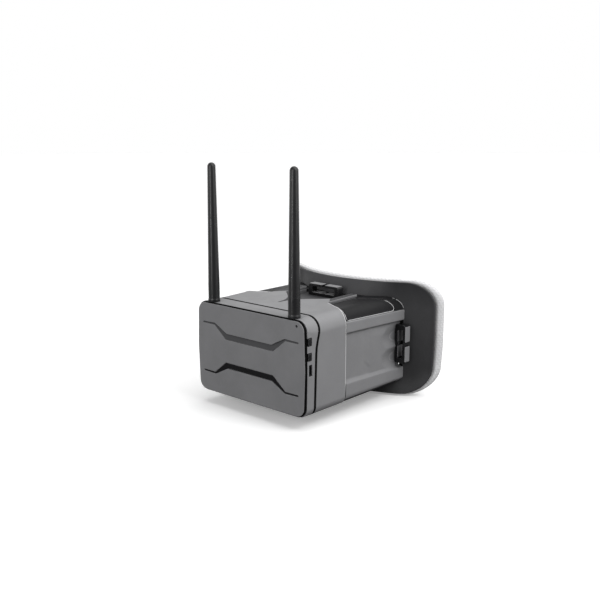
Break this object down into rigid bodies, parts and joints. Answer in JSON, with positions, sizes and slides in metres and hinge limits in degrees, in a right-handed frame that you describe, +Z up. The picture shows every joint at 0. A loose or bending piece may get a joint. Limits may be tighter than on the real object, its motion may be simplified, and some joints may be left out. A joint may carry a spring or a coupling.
{
  "type": "fpv goggles",
  "caption": "Box-style first-person-view goggles: display module with aerials, hollow body with lens, flared face frame, foam pad and strap brackets.",
  "frame": {"origin": "middle of the bounding box in plan, at its lowest level, which is the lower edge of the face frame", "axes": "+Z up along the aerials, +Y from the front plate towards the wearer's face, +X across the face"},
  "size_m": [0.1724, 0.149, 0.1998],
  "materials": {
    "plate": "satin mid-grey moulding with fine grain",
    "shell_grey": "satin light grey moulding with fine grain",
    "body_grey": "satin grey moulding, a little darker than the case",
    "cover_grey": "semi-gloss dark grey moulding",
    "flange_grey": "matte charcoal moulding",
    "black_gloss": "black moulding with soft gloss",
    "black_matte": "matte black moulding",
    "antenna_black": "satin black rubber-like sleeve",
    "seal": "matte black rubber seal",
    "pad_foam": "light grey soft foam with a cloth face",
    "clear": "clear moulded plastic",
    "lens_clear": "clear acrylic with fine ring steps",
    "screen_glass": "dark glossy display face",
    "board_green": "green solder resist",
    "wrap_blue": "blue shrink wrap",
    "steel": "plain bright steel",
    "brass": "bright plated brass"
  },
  "bodies": {
    "goggles": {"front_plate": "plate", "groove_inlay_upper": "black_gloss", "groove_inlay_lower": "black_gloss", "plate_seal": "seal", "led_light_pipe": "clear", "module_band": "shell_grey", "seam_seal": "seal", "housing_shell": "shell_grey", "top_cover_right": "cover_grey", "top_cover_left": "cover_grey", "body_shell": "body_grey", "side_panel_right": "body_grey", "side_panel_left": "body_grey", "bottom_cover": "cover_grey", "face_flange": "flange_grey", "pad_backing": "seal", "face_pad": "pad_foam", "strap_bracket_top": "black_gloss", "strap_bracket_right": "black_gloss", "strap_bracket_left": "black_gloss", "lens_frame": "black_matte", "fresnel_lens": "lens_clear", "lens_clamp": "black_matte", "lcd_panel": "screen_glass", "lcd_bezel": "black_matte", "main_board": "board_green", "battery_pack": "wrap_blue", "receiver_can_left": "steel", "receiver_can_right": "steel", "usb_shell": "black_matte", "usb_tongue": "black_matte", "switch_up": "black_matte", "switch_down": "black_matte", "antenna_jack_left": "brass", "antenna_jack_right": "brass", "bracket_screw_top_1": "steel", "bracket_screw_top_2": "steel", "bracket_screw_right_1": "steel", "bracket_screw_right_2": "steel", "bracket_screw_left_1": "steel", "bracket_screw_left_2": "steel", "board_screw_1": "steel", "board_screw_2": "steel", "board_screw_3": "steel", "board_screw_4": "steel"},
    "antenna_left": {"antenna_sleeve_left": "antenna_black", "antenna_wire_left": "brass"},
    "antenna_right": {"antenna_sleeve_right": "antenna_black", "antenna_wire_right": "brass"},
    "button_up": {"button_up": "black_gloss"},
    "button_down": {"button_down": "black_gloss"}
  },
  "joints": [
    {"name": "antenna_left_spin", "type": "hinge", "parent": "goggles", "child": "antenna_left", "pos_m": [-0.0445, -0.0695, 0.0878], "axis": [0, 0, 1], "continuous": true},
    {"name": "antenna_right_spin", "type": "hinge", "parent": "goggles", "child": "antenna_right", "pos_m": [0.0445, -0.0695, 0.0878], "axis": [0, 0, 1], "continuous": true},
    {"name": "button_up_press", "type": "slide", "parent": "goggles", "child": "button_up", "axis": [-1, 0, 0], "range_m": [0, 0.0006], "stiffness_N_per_m": 600, "springref_m": -0.0004},
    {"name": "button_down_press", "type": "slide", "parent": "goggles", "child": "button_down", "axis": [-1, 0, 0], "range_m": [0, 0.0006], "stiffness_N_per_m": 600, "springref_m": -0.0004}
  ]
}
